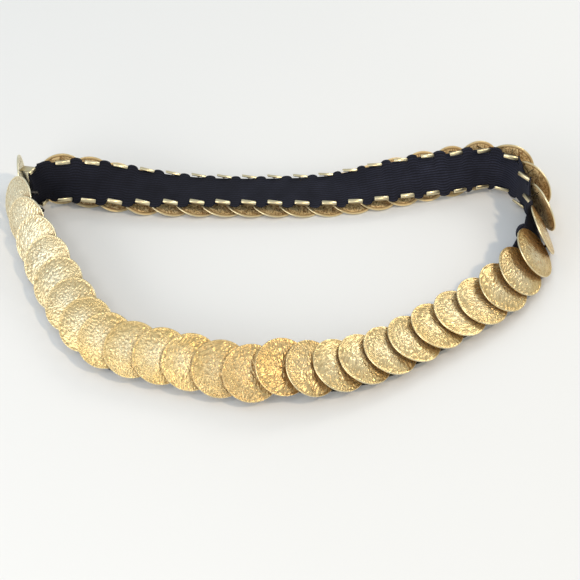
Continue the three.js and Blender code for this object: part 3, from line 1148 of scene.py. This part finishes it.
    def edge(self, front: Array, back: Array) -> Array:
        """Points of the coin's chamfered edge.

        Args:
            front: Points of the front.
            back: Points of the back.

        Returns:
            Four rings of points, from the front's rim to the back's.
        """
        ring = self.border()
        top, bottom = front.reshape(-1, 3)[ring], back.reshape(-1, 3)[ring]
        rim = unit(top[:, :2]) * self.size.radius
        outer = np.column_stack([rim, top[:, 2] - self.chamfer])
        lower = np.column_stack([rim, bottom[:, 2] + self.chamfer])
        return np.stack([top, outer, lower, bottom])

    def add_disc(self, sheath: Sheath) -> None:
        """Adds the coin's two faces and its edge.

        Args:
            sheath: Gathers the piece's faces.
        """
        disc, tone = self.disc, self.tone
        front, front_depth = self.face_points(Face.FRONT)
        back, back_depth = self.face_points(Face.BACK)
        faces = net(self.cells + 1, self.cells + 1)
        strokes = self.strokes(front[..., :2])
        marks = dict(stroke_u=strokes[..., 0], stroke_v=strokes[..., 1])
        # The front's tone, with a painted highlight a little behind its middle.
        rubbed_and_highlit = np.clip(tone + self.painted_highlight(front[..., :2]), 0, 1)
        placed = disc.put(front)
        # Patina in the struck hollows, brown all over some fronts, and shade painted along the
        # rim of the coin on top.
        struck = WEAR_AND_LIGHT.at("front_hollow", self.number) * front_depth**2
        dull = WEAR_AND_LIGHT.at("dullness", self.number)
        hollow = dull + (1 - dull) * np.maximum(struck, self.painted_rim_shade(placed))
        sheath.add(placed, [faces[:, ::-1]], HAMMERED, tone=rubbed_and_highlit, hollow=hollow, **marks)
        hollow = WEAR_AND_LIGHT.at("back_hollow", self.number) * back_depth
        sheath.add(
            disc.put(back), [faces], self.back_finish,
            tone=min(tone + 0.3, 1.0), hollow=hollow, **marks,
        )
        edge = self.edge(front, back)
        around = net(len(edge), edge.shape[1], True)
        sheath.add(disc.put(edge), [around], ROLLED, tone=0.6 + 0.4 * tone)

    def painted_highlight(self, flat: Array) -> Array:
        """A highlight painted on the front: how much paler it is a little behind the middle,
        and warmer near the rim.

        Args:
            flat: Places on the coin, forward and up from its middle.

        Returns:
            What is added to the coin's tone at each place.
        """
        away = np.hypot(flat[..., 0] + 3 * MM, flat[..., 1]) / (7.5 * MM)
        return WEAR_AND_LIGHT.at("painted_highlight", self.number) * (np.exp(-(away**2)) - 0.35)

    def painted_rim_shade(self, points: Array) -> Array:
        """Shade painted on the front along the rim of the coin that lies over it.

        Args:
            points: Points of the front, in the part's frame.

        Returns:
            How strong it is at each point, from 0 to 1.
        """
        if self.cover is None:
            return np.zeros(points.shape[:-1])
        place = self.cover.local(points)
        past = np.hypot(place[..., 0], place[..., 1]) - self.size.radius
        reach = WEAR_AND_LIGHT.at("painted_rim_shade_reach", self.number) * MM
        most = WEAR_AND_LIGHT.at("painted_rim_shade", self.number)
        return most * np.exp(-((np.maximum(past, 0) / reach) ** 2))

    def add_clips(self, sheath: Sheath) -> None:
        """Adds the clips; at the right bend the elastic bulges over the upper ones.

        Args:
            sheath: Gathers the piece's faces.
        """
        where = self.clips.lowered(self.number)
        for side in (-1,) if self.number in RIGHT_BEND else (-1, 1):
            self.clip.add(sheath, where, side)

    def build(self, finishes: Sequence[bpy.types.Material]) -> bpy.types.Object:
        """Makes the coin with its clips.

        Args:
            finishes: Materials of the front, the back and the bare metal.

        Returns:
            The piece, riding on the belt in place of its plain solid.
        """
        sheath = Sheath()
        self.add_disc(sheath)
        self.add_clips(sheath)
        piece = sheath.build(f"struck_coin_{self.number:02d}", finishes)
        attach(piece, "root")
        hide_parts(f"coin_{self.number:02d}")
        return piece


@dataclass
class SprungCoin(Coin):
    """The coin that has sprung away from its clips and hangs on a bent strap."""

    ahead: float = -0.8 * MM
    raised: float = 1.2 * MM
    away: float = 10.8 * MM
    splay: float = 37.0
    pitch: float = 9.0
    strap_half_width: float = 4 * MM
    strap_bevel: float = 0.1 * MM
    strap_inset: float = 0.05 * MM
    neck: Span = (-0.5 * MM, 4.2 * MM)
    tab: Span = (-0.5 * MM, 4.9 * MM)
    web_painted_shade: float = 0.1
    back_finish: int = HAMMERED

    @property
    def disc(self) -> ClipFrame:
        """Frame of the coin's disc, with the back's rim at out 0."""
        swung = self.clips.turned(self.ahead, self.away, self.splay)
        return swung.leaned(self.raised * self.clips.up, self.pitch)

    def add_clips(self, sheath: Sheath) -> None:
        """Adds the clips and the strap across the elastic, bent up to the coin.

        Args:
            sheath: Gathers the piece's faces.
        """
        super().add_clips(sheath)
        size = self.size
        low, high = size.standoff, size.standoff + size.clip_sheet
        wide, front = size.clip_outer - self.strap_inset, size.clip_front
        slope = math.tan(math.radians(self.splay))
        top = self.away + (self.ahead - front) * slope + size.dome
        half = self.strap_half_width
        across = self.block((self.neck[0], front), (-wide, wide), (low, high))
        raised = self.block((front - size.clip_sheet, front), (-half, half), (low, top))
        for rings in (across, raised):
            sheath.add(self.clips.put(rings), tube(rings), ROLLED, tone=0.9)

    def block(self, ahead: Span, up: Span, out: Span) -> Array:
        """Makes a plate with soft edges.

        Args:
            ahead: Its rear and front sides.
            up: Its two ends.
            out: Its inner and outer faces.

        Returns:
            Its rings, as forward, up and out, from one end to the other.
        """
        bevel = self.strap_bevel
        section = soft_corners(ahead, out, bevel)
        middle = np.array([sum(ahead) / 2, sum(out) / 2])
        gap = np.array(section[:1] + section[:0:-1]) - middle
        rings = []
        ends = (up[0], bevel), (up[0] + bevel, 0), (up[1] - bevel, 0), (up[1], bevel)
        for end, inset in ends:
            kept = np.sign(gap) * np.maximum(np.abs(gap) - inset, 0)
            rings.append(np.insert(middle + kept, 1, end, axis=1))
        return np.array(rings)


# ---- elastic ----------------------------------------------------------------------


@dataclass
class Station:
    """One cross-section of the elastic."""

    at: ClipFrame
    width: float
    near: int


class Sections:
    """The elastic's cross-sections as arrays, with a row for each."""

    def __init__(self, stations: Sequence[Station]) -> None:
        """Gathers the cross-sections.

        Args:
            stations: The cross-sections, from the belt's first end to its last.
        """
        self.near = [one.near for one in stations]
        self.widths = np.array([one.width for one in stations])[:, None]
        self.origins = np.array([one.at.origin for one in stations])
        self.outs = np.array([one.at.out for one in stations])
        self.ups = np.array([one.at.up for one in stations])

    def along(self) -> Array:
        """Distance of each cross-section from the first, along the elastic."""
        steps = np.linalg.norm(np.diff(self.origins, axis=0), axis=1)
        return np.concatenate([[0], np.cumsum(steps)])

    def face(self, across: Array, raised: Array) -> Array:
        """Points at fractions of the half width, raised so far out."""
        up = (across[None] * self.widths / 2)[..., None] * self.ups[:, None]
        return self.origins[:, None] + up + raised[..., None] * self.outs[:, None]


@dataclass
class Elastic:
    """The wide ribbed elastic that the coins are clipped on."""

    frames: list[ClipFrame]
    discs: list[ClipFrame]
    size: CoinSize = SIZE
    thickness: float = ELASTIC_THICKNESS
    free: float = ELASTIC_FREE
    covered: float = 24.2 * MM
    pinched: float = 22.4 * MM
    full_inset: float = 1.2 * MM
    inset: float = 1.5 * MM
    held: Span = (-3.9 * MM, 5.0 * MM)
    tail: float = 6.2 * MM
    start: float = -3.8 * MM
    margin: float = 0.35 * MM
    clip_gap: float = 0.15 * MM
    clip_reach: Span = (-4.2 * MM, 5.4 * MM)
    clip_rise: Span = (7.5 * MM, 9.6 * MM)
    farthest: float = 7 * MM
    least_facing: float = 0.3
    bulges: tuple[float, ...] = (0.03, 0.10, 0.22, 0.38, 0.5, 0.62, 0.78, 0.90, 0.97)
    ribs: int = 16
    rib_height: float = 0.05 * MM
    inner_points: int = 75
    outer_points: int = 33
    length: float = 0.0

    def knots(self) -> list[ClipFrame]:
        """Finds the elastic's middle at each coin, with its own directions there.

        Returns:
            A frame for each coin.
        """
        made = []
        for index, here in enumerate(self.frames):
            if index == COINS - 1:
                made.append(here)
                continue
            ahead = self.frames[index + 1].origin
            along = unit(ahead - self.frames[index - 1].origin)
            up = unit(here.up - along * (here.up @ along))
            facing = np.cross(along, up)
            made.append(ClipFrame(here.origin - self.inset * facing, along, up, facing))
        return made

    def stations(self) -> list[Station]:
        """Lays out the cross-sections, with a short straight end at both ends.

        Returns:
            The cross-sections, from the belt's first end to its last.
        """
        knots = self.knots()
        first, last = knots[0], knots[-1]
        made = [
            Station(self.moved(first, step), self.pinched, 0)
            for step in np.linspace(self.start, 0, 4)[:-1]
        ]
        for index in range(COINS - 1):
            made += self.between(knots[index], knots[index + 1], index)
        made += [
            Station(self.moved(last, step), self.pinched, COINS - 1)
            for step in np.linspace(0, self.tail, 6)
        ]
        return made

    @staticmethod
    def moved(knot: ClipFrame, step: float) -> ClipFrame:
        """A frame moved straight forward."""
        return ClipFrame(knot.place(step, 0.0, 0.0), knot.forward, knot.up, knot.out)

    def between(self, here: ClipFrame, there: ClipFrame, index: int) -> list[Station]:
        """Cross-sections from one coin up to the next, whose edges bulge on the way.

        Args:
            here: The elastic's middle at the first coin.
            there: The same at the next coin.
            index: Number of the first coin, from 0.

        Returns:
            The cross-sections, without the one at the next coin.
        """
        span = float(np.linalg.norm(there.origin - here.origin))
        low, high = self.held[1] / span, 1 + self.held[0] / span
        places = [*np.linspace(0, low, 5), *(low + (high - low) * np.array(self.bulges))]
        places += list(np.linspace(high, 1, 5)[:-1])
        opened = WEAR_AND_LIGHT.at("opening", index + 1)
        widest = self.covered + (self.free - self.full_inset - self.covered) * opened
        made = []
        for t in places:
            h1, h2 = 2 * t**3 - 3 * t**2 + 1, t**3 - 2 * t**2 + t
            h3, h4 = 3 * t**2 - 2 * t**3, t**3 - t**2
            place = h1 * here.origin + h3 * there.origin
            place = place + span * (h2 * here.forward + h4 * there.forward)
            up = unit(here.up * (1 - h3) + there.up * h3)
            out = here.out * (1 - h3) + there.out * h3
            out = unit(out - up * (out @ up))
            free = float(np.clip((t - low) / (high - low), 0, 1))
            swell = (1 - abs(2 * free - 1) ** 2.4) ** 0.6
            width = self.pinched + (widest - self.pinched) * swell
            near = index if t < 0.5 else index + 1
            made.append(Station(ClipFrame(place, np.cross(up, out), up, out), width, near))
        return made

    def gives(self, points: Array, outs: Array, near: Sequence[int]) -> Array:
        """How far the elastic must move inwards to clear the coins round it.

        Args:
            points: Points of its outer face, one cross-section a row.
            outs: Direction out of each cross-section.
            near: Number of the coin nearest each cross-section, from 0.

        Returns:
            Distances, one for each point.
        """
        found = np.zeros(points.shape[:2])
        radius, margin = self.size.radius, self.margin
        for row, (places, out, coin) in enumerate(zip(points, outs, near)):
            for other in range(coin - 2, coin + 2):
                disc = self.discs[other % COINS]
                facing = float(out @ disc.out)
                if facing < self.least_facing:
                    continue
                place = disc.local(places)
                reach = np.hypot(place[:, 0], place[:, 1])
                past = ease(reach, radius + margin, radius + margin + 1.2 * MM)
                under = self.size.dome_at(np.minimum(reach, radius)) - margin
                depth = (place[:, 2] - under) / facing
                depth = np.where(place[:, 2] > self.farthest, 0, depth) * (1 - past)
                found[row] = np.maximum(found[row], depth)
        return found

    @staticmethod
    def soften(gives: Array) -> Array:
        """Smooths the distances along and across, and makes none of them less.

        Args:
            gives: The distances, one cross-section a row.

        Returns:
            The smoothed distances.
        """
        soft = gives.copy()
        for _ in range(4):
            wide = np.pad(soft, 1, mode="edge")
            beside = wide[:-2, 1:-1] + wide[2:, 1:-1] + wide[1:-1, :-2] + wide[1:-1, 2:]
            soft = np.maximum((beside + 2 * wide[1:-1, 1:-1]) / 6, gives)
        return soft

    def profile(self, across: Array) -> Array:
        """Half the elastic's thickness with its ribs, across its width.

        Args:
            across: Fractions of the half width, from -1 to 1.

        Returns:
            Heights over the middle, one for each fraction.
        """
        half = self.thickness / 2 * np.sqrt(np.maximum(1 - np.abs(across) ** 14, 0))
        rib = np.abs(np.sin(math.pi * self.ribs * (across + 1) / 2))
        return half + self.rib_height * (rib - 1) * ease(1 - np.abs(across), 0.0, 0.06)

    def keep_in_clips(self, points: Array, near: Sequence[int], clear: float) -> Array:
        """Points moved out where they would cut into a clip's tab.

        Args:
            points: Points of one face, one cross-section a row.
            near: Number of the coin nearest each cross-section, from 0.
            clear: How far they stay from the tab.

        Returns:
            The points.
        """
        lowest = clear - self.size.tab_depth
        rear, front = self.clip_reach
        made = points.copy()
        for row, coin in enumerate(near):
            held = self.frames[coin]
            place = held.local(points[row])
            under = (place[:, 0] > rear) & (place[:, 0] < front)
            share = ease(np.abs(place[:, 1]), *self.clip_rise) * under
            lift = np.maximum(lowest - place[:, 2], 0) * share
            made[row] += lift[:, None] * held.out
        return made

    def build(self, finish: bpy.types.Material) -> bpy.types.Object:
        """Makes the elastic, its ribs and its bulged edges.

        Args:
            finish: Its material.

        Returns:
            The piece, riding on the belt in place of its plain solid.
        """
        rows = Sections(self.stations())
        near, along = rows.near, rows.along()
        self.length = float(along[-1])
        inner = np.linspace(-1, 1, self.inner_points)
        outer = np.linspace(-1, 1, self.outer_points)
        plain = np.full((len(near), len(inner)), self.thickness / 2)
        gives = self.soften(self.gives(rows.face(inner, plain), rows.outs, near))
        outer_gives = np.array([np.interp(outer, inner, row) for row in gives])
        below = rows.face(inner, -self.profile(inner) - gives)
        below = self.keep_in_clips(below, near, self.clip_gap)
        above = rows.face(outer, self.profile(outer) - outer_gives)
        above = self.keep_in_clips(above, near, self.clip_gap + 0.8 * self.thickness)
        rings = np.concatenate([above, below[:, ::-1][:, 1:-1]], axis=1)
        across = np.concatenate([outer, inner[::-1][1:-1]]) * self.free / 2
        sheath = Sheath()
        sheath.add(
            rings, tube(rings), 0,
            along=np.repeat(along, rings.shape[1]), across=np.tile(across, len(rings)),
        )
        piece = sheath.build("woven_elastic", [finish])
        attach(piece, "root")
        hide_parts("elastic_band")
        return piece


# ---- studio -----------------------------------------------------------------------


def aim(piece: bpy.types.Object, place: Place | Vector, way: Vector) -> None:
    """Stands a camera or a light at a place, looking in a direction.

    Args:
        piece: The camera or the light.
        place: Where it stands.
        way: The direction in which it looks.
    """
    piece.location = place
    piece.rotation_mode = "QUATERNION"
    piece.rotation_quaternion = way.to_track_quat("-Z", "Y")


@dataclass(frozen=True)
class Lamp:
    """A soft square light aimed at the belt, with its power in watts."""

    name: str
    place: Place
    side: float
    power: float
    colour: Colour

    def build(self) -> None:
        """Adds the light."""
        data = bpy.data.lights.new(self.name, "AREA")
        data.size = self.side
        data.energy = self.power
        data.color = self.colour
        aim(linked(self.name, data), self.place, -Vector(self.place))


LAMPS: tuple[Lamp, ...] = (
    Lamp("window", (1.20, -0.75, 1.94), 0.16, 15.8, (1.0, 0.80, 0.54)),
    Lamp("back right", (0.72, 0.68, 0.68), 0.34, 2.4, (1.0, 0.95, 0.86)),
    Lamp("left", (-0.95, -0.55, 0.50), 0.6, 3.2, (0.99, 1.0, 1.0)),
    Lamp("high left", (-0.76, -1.00, 2.04), 0.40, 4.4, (1.0, 1.0, 1.0)),
    Lamp("overhead", (0.28, -0.96, 2.16), 0.48, 1.6, (1.0, 0.99, 0.97)),
    Lamp("low left", (-0.65, -0.92, 0.40), 0.5, 3.4, (1.0, 0.92, 0.80)),
)


@dataclass
class Studio:
    """The table, the lights and the camera."""

    elevation: float = 46.0
    distance: float = 706 * MM
    lens: float = 79.45
    sensor: float = 36.0
    sees: Span = (0.01, 20.0)
    floor_side: float = 6.0
    sky: Colour = (0.85, 0.94, 1.0)
    sky_strength: float = 0.66
    lamps: tuple[Lamp, ...] = LAMPS

    def add_floor(self) -> None:
        """Adds the table top."""
        half = self.floor_side / 2
        around = ((-half, -half), (half, -half), (half, half), (-half, half))
        sheath = Sheath()
        corners = np.array([(x, y, 0) for x, y in around])
        sheath.add(corners, [np.array([[0, 1, 2, 3]])], 0)
        floor = sheath.build("table_top", [TableTop().material()])
        floor.location.z = -TABLE_GAP

    def add_camera(self) -> None:
        """Adds the camera, aimed at the origin of the belt's course."""
        data = bpy.data.cameras.new("camera")
        data.lens = self.lens
        data.sensor_width = self.sensor
        data.clip_start, data.clip_end = self.sees
        rise = math.radians(self.elevation)
        back = Vector((0, -math.cos(rise), math.sin(rise)))
        camera = linked("camera", data)
        aim(camera, Vector(COURSE_TO_FRAME) + back * self.distance, -back)
        bpy.context.scene.camera = camera

    def add_world(self) -> None:
        """Adds the even light of the room."""
        world = bpy.data.worlds.new("room")
        bpy.context.scene.world = world
        world.use_nodes = True
        background = world.node_tree.nodes["Background"]
        background.inputs[0].default_value = (*self.sky, 1.0)
        background.inputs[1].default_value = self.sky_strength

    def build(self) -> None:
        """Makes the whole studio."""
        self.add_floor()
        self.add_camera()
        self.add_world()
        for lamp in self.lamps:
            lamp.build()
        bpy.context.scene.view_settings.view_transform = "Standard"


# ---- the whole belt ---------------------------------------------------------------


@dataclass
class Belt:
    """The coin belt: its coins, elastic and clasp."""

    frames: list[ClipFrame]
    sprung: int = 34
    face_down: tuple[int, int] = (15, 33)
    pieces: list[bpy.types.Object] = field(default_factory=list)

    def build(self) -> None:
        """Builds and dresses every piece."""
        hammered = GoldPlate(Struck.HAMMERED).material()
        minted = GoldPlate(
            Struck.MINTED, metallic=0.2, roughness=0.42, pale=(0.95, 0.76, 0.40),
            warm=(0.88, 0.58, 0.24), hollow=(0.33, 0.17, 0.06),
        ).material()
        rolled = GoldPlate(Struck.ROLLED, metallic=1.0, roughness=0.26).material()
        coins = []
        for number, where in enumerate(self.frames, 1):
            kind = SprungCoin if number == self.sprung else Coin
            coins.append(kind(number, where))
        # Each front gets shade painted along the rim of the next coin, which lies over it.
        for coin, ahead in zip(coins, coins[1:]):
            coin.cover = ahead.disc
        for coin in coins:
            self.pieces.append(coin.build((hammered, minted, rolled)))
        LOG.info("%d coins", len(coins))
        slipped = [where.lowered(number) for number, where in enumerate(self.frames, 1)]
        elastic = Elastic(slipped, [coin.disc for coin in coins])
        woven = elastic.build(WovenElastic().material())
        self.pieces.append(woven)
        LOG.info("elastic %.3f m long", elastic.length)
        for node in ("hook_end", "eye_end"):
            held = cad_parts[node]
            held.data.materials.clear()
            held.data.materials.append(rolled)
            LOG.info("%s dressed", node)


def main() -> None:
    """Builds the belt and the studio."""
    logging.basicConfig(level=logging.INFO, format="%(name)s: %(message)s")
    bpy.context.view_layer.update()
    Studio().build()
    Belt(Course().frames()).build()


if __name__ == "__main__":
    main()
